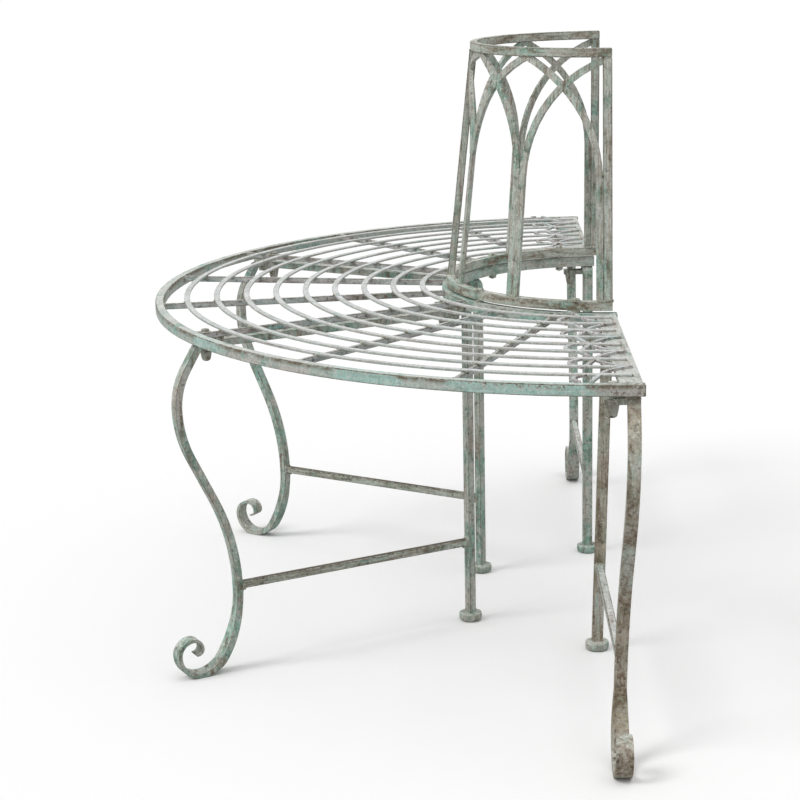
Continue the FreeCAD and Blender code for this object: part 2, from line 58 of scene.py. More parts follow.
# The legs: angle and sideways shift of each frame, then the sizes that they share
FRAMES = {
    "left_end": (-90, 10.0),
    "left_front": (-30, -18.0),
    "right_front": (30, -18.0),
    "right_end": (90, -12.0),
}
CLEAT_RADII = (242.0, 600.0)
CLEAT_LONG = 18.0
BAR_WIDE = 15.0
TOP_BAR_TOP = 456.0
TOP_BAR_FOOT = 446.5
STRETCHER_WIDE = 10.0

# The backrest, which leans inwards as it rises
BACK_TURN = -1.5
BACK_FOOT_RADIUS = 218.5
BACK_LEAN_IN = 36.5
BACK_LEAN_FOOT = 479.0
BACK_LEAN_HEIGHT = 327.0
RAIL_TOP = 485.0
TOP_RAIL_FOOT = 800.0
POST_THICK = 12.0
ARCH_SPRING = 644.0
ARCH_RISE = 156.0
ARCH_THICK = 5.0
ARCH_SIDE = 4.65
UPRIGHT_ANGLES = (-90.0, -53.0, -21.5, 21.5, 53.0, 90.0)

# Each group of bars at the left half of the bottom rail: angle, sideways shift of its middle, width
LEFT_UPRIGHTS = [(-90.0, 10.5, 21.0), (-53.0, 0.0, 18.0), (-21.5, 4.5, 9.0)]
MIDDLE_UPRIGHT = (0.0, 0.0, 10.0)

# Camera
CAMERA_PLACE = Vector((2.8626, 0.10285, 0.9971))
YAW = 0.029
PITCH = 0.238
ROLL = -0.021
LENS = 91.79
SENSOR_WIDTH = 36.0

# Lamps as direction, strength and spread in degrees, then world and floor, and how white these are seen
KEY_LIGHT = ((0.35, -0.75, 0.85), 1.15, 25)
TOP_LIGHT = ((0.15, 0.1, 1.0), 0.54, 50)
WORLD_LIGHT = 0.60
FLOOR_HALF = 60.0
FLOOR_GREY = 0.50
FLOOR_ROUGHNESS = 0.9
FLOOR_SEEN = 0.98
WORLD_SEEN = 1.0

UP = Vector((0, 0, 1))
dice = random.Random(7)


# Plan helpers

def polar(radius, angle, z):
    turn = math.radians(angle)
    return Vector((radius * math.sin(turn), RING_Y - radius * math.cos(turn), z))


def outwards(angle):
    turn = math.radians(angle)
    return Vector((math.sin(turn), -math.cos(turn), 0))


def sideways(angle):
    turn = math.radians(angle)
    return Vector((math.cos(turn), math.sin(turn), 0))


def back_radius(z):
    """Radius of the backrest's middle at a height. It leans inwards as it rises."""
    return BACK_FOOT_RADIUS - BACK_LEAN_IN * (z - BACK_LEAN_FOOT) / BACK_LEAN_HEIGHT


# Paint: one way of building every finish, from a few layers of noise

def linear(red, green, blue):
    """A colour given as it is seen, from 0 to 255, turned into the shader's own scale."""
    knee, slope, lift, power = 0.04045, 12.92, 0.055, 2.4
    parts = []
    for part in (red, green, blue):
        share = part / 255
        parts.append(share / slope if share <= knee else ((share + lift) / (1 + lift)) ** power)
    return (*parts, 1.0)


GREY_GREEN = linear(181, 192, 180)
PINK_GREY = linear(206, 197, 187)
TEAL = linear(158, 207, 190)
DEEP_TEAL = linear(120, 168, 151)
PALE_TEAL = linear(183, 217, 204)
PALE = linear(219, 221, 213)
OLIVE = linear(130, 122, 98)
BROWN = linear(100, 84, 65)
STAIN = linear(128, 126, 106)
RUST = linear(126, 84, 62)
TAN = linear(172, 152, 130)
DARK = linear(50, 45, 36)

# How far streaks are drawn out along a bar, and the radius in metres that turns an angle into a length
STREAK_STRETCH = 0.09
STREAK_RADIUS = 0.4
NOISE_ROUGHNESS = 0.6

# Layers of noise: scale, detail, shift of the seed, distortion, and whether it is drawn out along the bars
LAYERS = {
    "large": (13.0, 3.0, 0.0, 0.0, False),
    "medium": (42.0, 5.0, 3.1, 0.4, False),
    "fine": (190.0, 4.0, 5.7, 0.0, False),
    "flecks": (260.0, 3.0, 9.3, 0.0, False),
    "streaks": (135.0, 4.0, 12.9, 0.3, True),
    "grain": (700.0, 2.0, 15.1, 0.0, False),
    "pits": (150.0, 4.0, 19.7, 0.0, False),
    "stains": (230.0, 4.0, 22.3, 0.5, True),
}

# Two mixed layers: first layer and its share, second layer and its share
MIXED_LAYERS = {
    "blend": ("large", 0.55, "medium", 0.45),
    "worn": ("streaks", 0.6, "blend", 0.4),
}

# Masks: the layer that each follows, the values at which it starts and is full, and its most
MASKS = {
    "pink": ("streaks", 0.36, 0.64, 1.0),
    "deep_teal": ("medium", 0.40, 0.64, 1.0),
    "whole_teal": ("fine", 0.72, 0.44, 0.95),
    "upward_lit_faces": ("facing_up", 0.3, 0.9, 1.0),
    "side_faces": ("facing_up", 0.5, 0.1, 1.0),
    "rubbed": ("medium", 0.72, 0.38, 1.0),
    "stains": ("stains", 0.47, 0.62, 1.0),
    "stained_places": ("medium", 0.30, 0.50, 1.0),
    "tan": ("large", 0.40, 0.56, 1.0),
    "whole_brown": ("fine", 0.30, 0.58, 1.0),
    "broken_line": ("medium", 0.36, 0.52, 1.0),
    "bare_metal": ("fine", 0.42, 0.60, 1.0),
    "darkened_top_faces": ("facing_up", 0.4, 0.8, 1.0),
    "darkened_top_places": ("worn", 0.32, 0.52, 1.0),
    "dark_brown": ("fine", 0.38, 0.60, 1.0),
    "rust": ("flecks", 0.56, 0.70, 0.7),
    "pale_flecks": ("flecks", 0.55, 0.70, 0.6),
    "pits": ("pits", 0.54, 0.68, 1.0),
    "rough": ("fine", 0.3, 0.7, 0.16),
}

# Verdigris and brown start and are full at these values, less these shares of the finish's own amount
TEAL_RANGE = (0.60, 0.70)
TEAL_SHIFT = (0.16, 0.14)
BROWN_RANGE = (0.55, 0.68)
BROWN_SHIFT = 0.12
BROWN_MOST = 0.92
STAIN_LEAST = 0.15
STAIN_PER_BROWN = 0.75
TOP_DARK_DEPTH = 0.55

# Round patches on the rim, in metres beyond their own reach, and the raggedness of their edges
TEAL_PATCH_EDGE = (0.08, 0.03)
TEAL_PATCH_RAGGED = 0.12
# Share of pale teal in the teal patches, which also paints light
TEAL_PATCH_PALE = 0.75
BARE_PATCH_EDGE = (0.02, -0.01)
BARE_PATCH_MOST = 0.9
LINE_RAGGED = 0.006
LINE_ON_TEAL = (0.8, 0.2)

# Light and dark grain, roughness and relief
GRAIN_RANGE = (0.7, 1.3)
SHADE_RANGE = (0.62, 1.30)
ROUGH_LEAST = 0.50
ROUGH_BROWN = 0.22
FINE_RELIEF = 0.6
GRAIN_RELIEF = 0.25
PIT_RELIEF = 0.5
BROWN_RELIEF = 0.25
BUMP_STRENGTH = 0.55
BUMP_DISTANCE = 0.0007


class Graph:
    """Short ways of adding nodes to one tree of a material, the world or a modifier."""

    def __init__(self, tree):
        self.tree = tree

    def add(self, kind, values=None, **settings):
        node = self.tree.nodes.new(kind)
        for name, value in settings.items():
            setattr(node, name, value)
        for key, value in (values or {}).items():
            self.put(node.inputs[key], value)
        return node

    def put(self, socket, value):
        if isinstance(value, bpy.types.NodeSocket):
            self.tree.links.new(value, socket)
        else:
            socket.default_value = value

    def math(self, operation, first, second=0.0):
        return self.add("ShaderNodeMath", {0: first, 1: second}, operation=operation).outputs[0]

    def times(self, first, second):
        return self.math("MULTIPLY", first, second)

    def plus(self, first, second):
        return self.math("ADD", first, second)

    def larger(self, first, second):
        return self.math("MAXIMUM", first, second)

    def weighted(self, first, first_share, second, second_share):
        return self.plus(self.times(first, first_share), self.times(second, second_share))

    def distance(self, first, second):
        node = self.add("ShaderNodeVectorMath", {0: first, 1: second}, operation="DISTANCE")
        return node.outputs["Value"]

    def noise(self, place, scale, detail, seed, distortion):
        values = {"Vector": place, "W": seed, "Scale": scale, "Detail": detail,
                  "Roughness": NOISE_ROUGHNESS, "Distortion": distortion}
        return self.add("ShaderNodeTexNoise", values, noise_dimensions="4D").outputs["Fac"]

    def band(self, value, low, high, most=1.0):
        """Rises smoothly from 0 at low to most at high."""
        values = {"Value": value, "From Min": low, "From Max": high, "To Min": 0.0, "To Max": most}
        return self.add("ShaderNodeMapRange", values, interpolation_type="SMOOTHSTEP").outputs[0]

    def mix(self, share, first, second, way="MIX"):
        node = self.add("ShaderNodeMix", {0: share, 6: first, 7: second}, data_type="RGBA", blend_type=way)
        return node.outputs[2]


def run_place(graph, run):
    """Object coordinates, the same drawn out along the way that the piece's bars run, and the height."""
    place = graph.add("ShaderNodeTexCoord").outputs["Object"]
    x, y, z = graph.add("ShaderNodeSeparateXYZ", {0: place}).outputs
    height = z
    y = graph.math("SUBTRACT", y, RING_Y * MM)
    radius = graph.math("SQRT", graph.plus(graph.times(x, x), graph.times(y, y)))
    along = graph.times(graph.math("ARCTAN2", x, graph.times(y, -1.0)), STREAK_RADIUS)
    if run == "ring":
        along = graph.times(along, STREAK_STRETCH)
    if run == "spoke":
        radius = graph.times(radius, STREAK_STRETCH)
    if run == "upright":
        z = graph.times(z, STREAK_STRETCH)
    drawn = graph.add("ShaderNodeCombineXYZ", {0: radius, 1: along, 2: z}).outputs[0]
    return place, drawn, height


class Coats:
    """The coats of one worn paint, each laid over the last."""

    def __init__(self, name, run, seed):
        self.material = bpy.data.materials.new(name)
        self.material.use_nodes = True
        self.graph = Graph(self.material.node_tree)
        self.place, drawn, self.height = run_place(self.graph, run)
        self.layers = {}
        for layer, (scale, detail, shift, distortion, along_bars) in LAYERS.items():
            place = drawn if along_bars else self.place
            self.layers[layer] = self.graph.noise(place, scale, detail, seed + shift, distortion)
        for layer, (first, first_share, second, second_share) in MIXED_LAYERS.items():
            self.layers[layer] = self.graph.weighted(self.layers[first], first_share,
                                                     self.layers[second], second_share)
        normal = self.graph.add("ShaderNodeNewGeometry").outputs["Normal"]
        self.layers["facing_up"] = self.graph.add("ShaderNodeSeparateXYZ", {0: normal}).outputs[2]
        self.colour = GREY_GREEN
        self.teal = None
        self.brown = None
        self.pits = None

    def mask(self, name, amount=1.0):
        """How strongly a coat shows, from its layer of noise and the finish's own amount."""
        layer, low, high, most = MASKS[name]
        return self.graph.band(self.layers[layer], low, high, most * amount)

    def lay(self, share, colour):
        """Lays one coat over the colour so far."""
        self.colour = self.graph.mix(share, self.colour, colour)

    def verdigris(self, amount, patches):
        """Teal in large patches, and pale teal around the given places, which also paints light there;
        flaked off in small ones.
        """
        graph = self.graph
        low, high = (value - shift * amount for value, shift in zip(TEAL_RANGE, TEAL_SHIFT))
        share = graph.band(self.layers["blend"], low, high)
        colour = graph.mix(self.mask("deep_teal"), TEAL, DEEP_TEAL)
        for middle, reach in patches:
            far = graph.plus(graph.distance(self.place, middle),
                             graph.times(self.layers["medium"], TEAL_PATCH_RAGGED))
            patch = graph.band(far, *(reach + edge for edge in TEAL_PATCH_EDGE))
            share = graph.larger(share, patch)
            # Pale teal around each given place: verdigris, and painted light
            colour = graph.mix(graph.times(patch, TEAL_PATCH_PALE), colour, PALE_TEAL)
        self.teal = graph.times(share, self.mask("whole_teal"))
        self.lay(self.teal, colour)

    def stains(self, brown, tan):
        """Thin stains in streaks, and a brown cast in large patches."""
        share = self.mask("stains", STAIN_LEAST + STAIN_PER_BROWN * brown)
        self.lay(self.graph.times(share, self.mask("stained_places")), STAIN)
        self.lay(self.mask("tan", tan), TAN)

    def edge_line(self, low, high, strength):
        """A broken line of wear along the top of an upright face, between two heights in metres."""
        graph = self.graph
        ragged = graph.plus(self.height, graph.times(self.layers["streaks"], LINE_RAGGED))
        share = graph.band(ragged, low + LINE_RAGGED / 2, high + LINE_RAGGED / 2, strength)
        share = graph.times(share, self.mask("side_faces"))
        share = graph.times(share, self.mask("broken_line"))
        return graph.times(share, graph.band(self.teal, *LINE_ON_TEAL))

    def bare_patch(self, middle, reach):
        """Wear around one place, where the paint has come off."""
        far = self.graph.distance(self.place, middle)
        low, high = (reach + edge for edge in BARE_PATCH_EDGE)
        share = self.graph.band(far, low, high, BARE_PATCH_MOST)
        return self.graph.times(share, self.mask("bare_metal"))

    def wear(self, brown, top_darkening, line, patches):
        """Brown where the paint has worn off, with rust flecks, and darker on the faces that look up."""
        graph = self.graph
        low, high = (value - BROWN_SHIFT * brown for value in BROWN_RANGE)
        share = graph.band(self.layers["worn"], low, high, BROWN_MOST)
        share = graph.times(share, self.mask("whole_brown"))
        if line:
            share = graph.larger(share, self.edge_line(*line))
        for middle, reach in patches:
            share = graph.larger(share, self.bare_patch(middle, reach))
        # Darker in patches on the faces that look up
        top_dark_share = graph.times(self.mask("darkened_top_faces", top_darkening), self.mask("darkened_top_places"))
        self.brown = graph.larger(share, top_dark_share)
        colour = graph.mix(self.mask("dark_brown"), OLIVE, BROWN)
        colour = graph.mix(self.mask("rust"), colour, RUST)
        self.lay(self.brown, colour)
        self.lay(graph.times(top_dark_share, TOP_DARK_DEPTH), DARK)

    def pitted(self, amount):
        """Dark pits, which are sunk as well."""
        self.pits = self.mask("pits", amount)
        self.lay(self.pits, DARK)

    def grained(self, light, cool):
        """Light and dark grain over everything, with the finish's own lightness and coolness."""
        graph = self.graph
        least, most = (value * light for value in SHADE_RANGE)
        low, high = GRAIN_RANGE
        values = {"Value": graph.plus(self.layers["grain"], self.layers["fine"]),
                  "From Min": low, "From Max": high, "To Min": least, "To Max": most}
        shade = graph.add("ShaderNodeMapRange", values).outputs[0]
        tint = graph.add("ShaderNodeCombineColor", {0: shade, 1: shade, 2: graph.times(shade, cool)})
        self.colour = graph.mix(1.0, self.colour, tint.outputs[0], "MULTIPLY")

    def finish(self):
        """Joins colour, roughness and relief to the shader."""
        graph = self.graph
        shader = self.material.node_tree.nodes["Principled BSDF"]
        graph.put(shader.inputs["Base Color"], self.colour)
        rough = graph.plus(graph.times(self.brown, ROUGH_BROWN), self.mask("rough"))
        graph.put(shader.inputs["Roughness"], graph.plus(rough, ROUGH_LEAST))
        relief = graph.weighted(self.layers["fine"], FINE_RELIEF, self.layers["grain"], GRAIN_RELIEF)
        relief = graph.math("SUBTRACT", relief, graph.times(self.pits, PIT_RELIEF))
        relief = graph.math("SUBTRACT", relief, graph.times(self.brown, BROWN_RELIEF))
        values = {"Strength": BUMP_STRENGTH, "Distance": BUMP_DISTANCE, "Height": relief}
        graph.put(shader.inputs["Normal"], graph.add("ShaderNodeBump", values).outputs[0])


def paint(name, run, seed, teal=0.5, brown=0.5, pale=0.4, pink=0.5, dark=0.5, tan=0.0, top_darkening=0.0,
          light=1.0, cool=1.0, teal_and_lit_patches=(), bare_patches=(), line=None):
    """Worn grey-green paint with verdigris patches (the given ones pale and also painted light), brown
    streaks, pale tops that are partly rubbed wear and partly painted highlight, and dark pits.
    """
    coats = Coats(name, run, seed)
    coats.lay(coats.mask("pink", pink), PINK_GREY)
    coats.verdigris(teal, teal_and_lit_patches)
    # Pale on the faces that look up, broken by noise: partly rubbed wear, partly a painted highlight from
    # the light above
    coats.lay(coats.graph.times(coats.mask("upward_lit_faces", pale), coats.mask("rubbed")), PALE)
    coats.stains(brown, tan)
    coats.wear(brown, top_darkening, line, bare_patches)
    coats.lay(coats.mask("pale_flecks"), PALE)
    coats.pitted(dark)
    coats.grained(light, cool)
    coats.finish()
    return coats.material


# Patches on the rim: middle and reach in metres. The teal ones lie on the near side and are pale verdigris
# that also paints light there
TEAL_AND_LIT_PATCHES = [
    (Vector((0.615, 0.175, 0.465)), 0.09),
    (Vector((0.56, -0.01, 0.465)), 0.06),
    (Vector((0.34, -0.215, 0.465)), 0.03),
]
BARE_PATCHES = [
    (Vector((0.637, 0.314, 0.464)), 0.045),
    (Vector((-0.637, 0.314, 0.464)), 0.03),
]

# Line of wear under the rim's top edge: heights in metres at which it starts and is full, and its strength
RIM_LINE = (0.4625, 0.468, 0.95)

FINISHES = {
    "rim": paint("rim_paint", "ring", 2.0, teal=0.75, brown=0.15, pale=0.6, pink=0.7, dark=0.2, cool=1.05,
                 teal_and_lit_patches=TEAL_AND_LIT_PATCHES, bare_patches=BARE_PATCHES, line=RIM_LINE),
    "inner_rim": paint("inner_rim_paint", "ring", 4.3, teal=0.95, brown=0.4, pale=0.3, cool=1.03),
    "strip": paint("strip_paint", "ring", 8.1, teal=0.3, brown=0.1, pale=0.9, pink=0.6, dark=0.4,
                   cool=1.09),
    "radial": paint("radial_paint", "spoke", 11.6, brown=0.55, pale=0.5, pink=1.0, dark=0.7, cool=1.12),
    "end_bar": paint("end_bar_paint", "spoke", 14.2, brown=0.35, pale=0.6, pink=0.8, dark=0.6, cool=1.04),
    "leg": paint("leg_paint", "upright", 52.3, teal=0.9, pale=0.6, pink=0.8, dark=0.6, cool=1.02),
    "brown_leg": paint("brown_leg_paint", "upright", 21.4, teal=0.6, brown=0.95, pink=1.0, dark=0.6,
                       tan=0.6),
    "stretcher": paint("stretcher_paint", "spoke", 24.7, teal=0.6, brown=0.7, pale=0.1, pink=0.6, dark=0.7,
                       top_darkening=1.0),
    "pale_stretcher": paint("pale_stretcher_paint", "spoke", 26.2, teal=0.4, brown=0.35, pale=0.8, pink=1.0,
                            cool=1.05),
    "back": paint("back_paint", "upright", 28.3, teal=0.65, brown=0.6, pale=0.6, pink=0.9, cool=1.02),
    "back_rail": paint("back_rail_paint", "ring", 31.8, teal=0.65, brown=0.75, pale=0.5, pink=0.8),
    "fixing": paint("fixing_paint", "upright", 35.2, teal=0.3, brown=0.8, pink=0.6, dark=0.8),
    "weld": paint("weld_paint", "upright", 38.6, teal=0.4, brown=0.85, pale=0.3, pink=0.6, dark=0.9),
    # Rounded edges of most parts: brown rust and dirt, and paint made darker (light 0.76) as painted shade
    # along edges and under rails
    "rusty_and_shaded_edge": paint("edge_rust_and_painted_shade", "upright", 41.9, teal=0.35, brown=1.1, pale=0.7, pink=0.8,
                       dark=0.8, light=0.76),
    # Rounded edges of strips and end bars: rubbed wear, and pale paint as a painted highlight
    "worn_and_lit_edge": paint("edge_wear_and_painted_highlight", "ring", 44.5, teal=0.2, brown=0.2, pale=0.9, pink=0.9, dark=0.4,
                       cool=1.06),
}
# Finishes whose rounded edges take the wear with painted highlight
WORN_AND_LIT_EDGED = ("strip", "end_bar")

# Start of a node's name, its finish, and the rounding of its edges in millimetres
FINISH_RULES = (
    ("seat_strip", "strip", 0.9),
    ("seat_radial", "radial", 1.0),
    ("seat_end_bar", "end_bar", 1.0),
    ("seat_outer_rim", "rim", 1.2),
    ("seat_inner_rim", "inner_rim", 1.2),
    ("end_tracery", "radial", 0.8),
    ("leg_frame_right_end", "brown_leg", 1.6),
    ("leg_frame", "leg", 1.6),
    ("leg_stretcher_left_end", "pale_stretcher", 1.4),
    ("leg_stretcher_right_end", "pale_stretcher", 1.4),
    ("leg_stretcher", "stretcher", 1.4),
    ("leg_foot", "leg", 1.0),
    ("leg_", "fixing", 0.7),
    ("back_spacers", "fixing", 0.4),
    ("back_bolts", "fixing", 0.4),
    ("back_nuts", "fixing", 0.4),
    ("back_bottom_rail", "back_rail", 1.4),
    ("back_top_rail", "back_rail", 1.4),
    ("back_", "back", 1.3),
)

# Angles in degrees that tell flat faces, rounded edges and smooth faces apart
FLAT_ANGLE = 0.4
ROUNDED_ANGLE = 34
SMOOTH_ANGLE = 38
ROUNDING_SEGMENTS = 2
MERGE_DISTANCE = 0.00001


# Modifiers: joined faces, rounded edges and smooth shading, with the CAD vertices left as they are

def geometry_group(name):
    """A new geometry group, as its graph, the socket where it starts and the socket where it ends."""
    tree = bpy.data.node_groups.new(name, "GeometryNodeTree")
    for way in ("INPUT", "OUTPUT"):
        tree.interface.new_socket("Geometry", in_out=way, socket_type="NodeSocketGeometry")
    graph = Graph(tree)
    return graph, graph.add("NodeGroupInput").outputs[0], graph.add("NodeGroupOutput").inputs[0]


def joined_faces():
    graph, start, end = geometry_group("joined_faces")
    bare = graph.add("GeometryNodeRemoveAttribute", {"Geometry": start, "Name": "custom_normal"})
    values = {"Geometry": bare.outputs[0], "Distance": MERGE_DISTANCE}
    graph.put(end, graph.add("GeometryNodeMergeByDistance", values).outputs[0])
    return graph.tree


def shaded_by_angle():
    graph, start, end = geometry_group("shaded_by_angle")
    angle = graph.add("GeometryNodeInputMeshEdgeAngle").outputs[0]
    soft = graph.math("LESS_THAN", angle, math.radians(SMOOTH_ANGLE))
    shape = start
    for domain, smooth in (("FACE", True), ("EDGE", soft)):
        values = {"Geometry": shape, "Shade Smooth": smooth}
        shape = graph.add("GeometryNodeSetShadeSmooth", values, domain=domain).outputs[0]
    graph.put(end, shape)
    return graph.tree


JOINED = joined_faces()
SHADED = shaded_by_angle()


def add_group(piece, tree):
    modifier = piece.modifiers.new(tree.name, "NODES")
    modifier.node_group = tree


def dress_node(name):
    """Gives one CAD node its paint and its rounded edges, by the first rule that fits its name."""
    finish, width = next(rule[1:] for rule in FINISH_RULES if name.startswith(rule[0]))
    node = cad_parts[name]
    materials = node.data.materials
    materials.clear()
    materials.append(FINISHES[finish])
    # The rounded edges take a second finish: wear with painted highlight on strips and end bars, rust with
    # painted shade elsewhere
    materials.append(FINISHES["worn_and_lit_edge" if finish in WORN_AND_LIT_EDGED else "rusty_and_shaded_edge"])
    add_group(node, JOINED)
    flat = node.modifiers.new("flat_faces", "DECIMATE")
    flat.decimate_type = "DISSOLVE"
    flat.angle_limit = math.radians(FLAT_ANGLE)
    rounding = node.modifiers.new("rounded_edges", "BEVEL")
    rounding.width = width * MM
    rounding.segments = ROUNDING_SEGMENTS
    rounding.limit_method = "ANGLE"
    rounding.angle_limit = math.radians(ROUNDED_ANGLE)
    rounding.material = 1
    add_group(node, SHADED)
    node.modifiers.new("flat_shading", "WEIGHTED_NORMAL").keep_sharp = True


for node_name in sorted(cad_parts):
    dress_node(node_name)


# Pieces made here

class Shell:
    """Collects closed skins in millimetres and makes one piece of them."""

    def __init__(self):
        self.points = []
        self.faces = []

    def loft(self, rings):
        """Adds one closed skin through rings of equally many points."""
        first = len(self.points)
        count = len(rings[0])
        for ring in rings:
            self.points += ring
        for level in range(len(rings) - 1):
            for side in range(count):
                low = first + level * count + side
                beside = first + level * count + (side + 1) % count
                self.faces.append((low, beside, beside + count, low + count))
        last = first + (len(rings) - 1) * count
        self.faces.append(tuple(range(first + count - 1, first - 1, -1)))
        self.faces.append(tuple(range(last, last + count)))

    def piece(self, name, finish, slot, *nodes):
        """Makes the piece, which rides on the bench and takes the place of the nodes that are given."""
        mesh = bpy.data.meshes.new(name)
        mesh.from_pydata([point * MM for point in self.points], [], self.faces)
        skin = bmesh.new()
        skin.from_mesh(mesh)
        bmesh.ops.recalc_face_normals(skin, faces=skin.faces)
        skin.to_mesh(mesh)
        skin.free()
        mesh.materials.append(FINISHES[finish])
        piece = bpy.data.objects.new(name, mesh)
        bpy.context.scene.collection.objects.link(piece)
        add_group(piece, SHADED)
        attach(piece, "root")
        if nodes:
            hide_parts(*nodes)


# Welds. Sizes are in millimetres.
WELD_SIDES = 7
WELD_STEP = 1.4
WELD_EXTRA_STEPS = 4
WELD_LEAST_STEPS = 5
WELD_LEAST_LONG = 0.01
WELD_OVERRUN = 0.6
WELD_LEAST_SWELL = 0.06
WELD_SWELL_POWER = 4
WELD_RIPPLE = 0.10
WELD_RIPPLE_PITCH = 2.1
WELD_LUMP = 0.32
WELD_LUMP_SCALE = 0.42
WELD_LUMP_SHIFT = 9

# Half the thickness of each kind of bead, from and to
BEADS = {
    "strip_crossing": (1.7, 2.5),
    "strip_edge": (1.3, 1.9),
    "strip_side": (1.2, 1.8),
    "strip_tip": (1.3, 1.9),
    "radial_end": (1.5, 2.2),
    "upright_face": (1.5, 2.2),
    "upright_side": (1.5, 2.1),
    "post_head": (1.2, 1.6),
    "paired_bars": (1.5, 2.2),
    "stretcher_edge": (2.1, 2.7),
    "stretcher_side": (1.9, 2.6),
    "cleat_edge": (1.6, 2.2),
}
END_BAR_BEAD = 1.8
END_CORNER_BEAD = 1.9
ARCH_CROSSING_BEAD = 1.7
STRETCHER_FILLET = 3.2

# How far beads stay from the ends of the edge that they run along
RADIAL_MARGIN = 1
END_BAR_MARGIN = 2
CLEAT_MARGIN = 2
STRETCHER_MARGIN = 0.5

# Lengths of beads, from and to where each one has its own
STRIP_CROSSING_SHARE = 0.55
STRIP_CROSSING_LONG = (0.7, 1.2)
STRIP_EDGE_LONG = (0.5, 0.9)
STRIP_SIDE_LONG = (1.5, 4)
STRIP_TIP_LONG = (2.5, 5)
PAIRED_BARS_LONG = (4, 8)
END_BAR_LONG = END_BAR_EDGE - END_BAR_GAP - 2 * END_BAR_MARGIN
RADIAL_END_LONG = RADIAL_TALL - 2 * RADIAL_MARGIN
POST_HEAD_LONG = 7
ARCH_CROSSING_LONG = 5
STRETCHER_FILLET_LONG = 6
UPRIGHT_FACE_SHARE = 0.8
UPRIGHT_SIDE_SHARE = 0.6

# Places of beads
CROSSING_SINK = 0.8
STRIP_EDGE_LIFT = 0.5
FILLET_DROP = 0.5
RAIL_LIFT = 0.4
POST_HEAD_SHARE = 0.57
POST_HEAD_OUT = 4.6
PAIR_WELD_SHIFTS = ((-90.0, 12.0), (-53.0, 0.0), (53.0, 0.0), (90.0, -12.0))
PAIR_WELD_HEIGHTS = (536.0, 650.0)
CROSSING_CLEARANCE = 8


def thickness(bead):
    """Half the thickness of the next bead of this kind."""
    return dice.uniform(*BEADS[bead])


def weld(shell, start, end, size):
    """A lumpy run of weld from start to end, thick in its middle and rippled along its length."""
    along = end - start
    length = max(along.length, WELD_LEAST_LONG)
    way = along / length
    across = way.orthogonal().normalized()
    rise = way.cross(across)
    steps = max(WELD_LEAST_STEPS, int(length / WELD_STEP) + WELD_EXTRA_STEPS)
    shift = Vector([dice.uniform(-WELD_LUMP_SHIFT, WELD_LUMP_SHIFT) for _ in range(3)])
    rings = []
    for step in range(steps + 1):
        share = step / steps
        swell = math.sqrt(max(WELD_LEAST_SWELL, 1 - (2 * share - 1) ** WELD_SWELL_POWER))
        ripple = 1 + WELD_RIPPLE * math.sin(share * steps * WELD_RIPPLE_PITCH)
        centre = start - way * size * WELD_OVERRUN + way * (length + size * 2 * WELD_OVERRUN) * share
        ring = []
        for side in range(WELD_SIDES):
            turn = 2 * math.pi * side / WELD_SIDES
            out = across * math.cos(turn) + rise * math.sin(turn)
            lump = 1 + WELD_LUMP * noise.noise((centre + out * size) * WELD_LUMP_SCALE + shift)
            ring.append(centre + out * size * swell * ripple * lump)
        rings.append(ring)
    shell.loft(rings)


def blob(shell, centre, way, long, size):
    """A weld of a given length around its middle."""
    weld(shell, centre - way * long / 2, centre + way * long / 2, size)


def crossing_welds():
    """Where the strips cross the radial bars."""
    shell = Shell()
    for angle in RADIAL_ANGLES:
        side = sideways(angle)
        for radius in STRIP_RADII:
            for way in (-1, 1):
                centre = polar(radius, angle, SEAT_TOP - CROSSING_SINK) + side * way * RADIAL_WIDE / 2
                long = STRIP_WIDE * STRIP_CROSSING_SHARE * dice.uniform(*STRIP_CROSSING_LONG)
                blob(shell, centre, outwards(angle), long, thickness("strip_crossing"))
            edge = polar(radius + STRIP_WIDE / 2, angle, SEAT_TOP + STRIP_EDGE_LIFT)
            long = RADIAL_WIDE * dice.uniform(*STRIP_EDGE_LONG)
            blob(shell, edge, side, long, thickness("strip_edge"))
    shell.piece("seat_crossing_welds", "weld", "seat_metal")


def bar_welds():
    """Where the radial bars and the end bars meet the rims, and where the strips meet the end bars."""
    shell = Shell()
    for angle in RADIAL_ANGLES:
        for radius in (INNER_RIM_RADIUS, RIM_INSIDE):
            for way in (-1, 1):
                foot = polar(radius, angle, RADIAL_FOOT + RADIAL_MARGIN)
                foot += sideways(angle) * way * RADIAL_WIDE / 2
                weld(shell, foot, foot + UP * RADIAL_END_LONG, thickness("radial_end"))
    for angle in END_ANGLES:
        out = outwards(angle)
        inwards = sideways(angle) * (-1 if angle > 0 else 1)
        for radius in (INNER_RIM_RADIUS, RIM_INSIDE):
            start = polar(radius, angle, RADIAL_FOOT) + inwards * (END_BAR_GAP + END_BAR_MARGIN)
            weld(shell, start, start + inwards * END_BAR_LONG, END_BAR_BEAD)
            corner = polar(radius, angle, RADIAL_FOOT + RADIAL_MARGIN) + inwards * END_BAR_EDGE
            weld(shell, corner, corner + UP * RADIAL_END_LONG, END_CORNER_BEAD)
        for radius in STRIP_RADII:
            drop = radius * (1 - math.cos(math.asin(END_BAR_EDGE / radius)))
            for way in (-1, 1):
                place = polar(radius - drop, angle, SEAT_TOP) + inwards * END_BAR_EDGE
                place += out * way * STRIP_WIDE / 2
                blob(shell, place, inwards, dice.uniform(*STRIP_SIDE_LONG), thickness("strip_side"))
            tip = polar(radius, angle, SEAT_TOP + CROSSING_SINK) + inwards * STRIP_END_GAP
            blob(shell, tip, out, dice.uniform(*STRIP_TIP_LONG), thickness("strip_tip"))
    shell.piece("seat_bar_welds", "weld", "seat_metal")


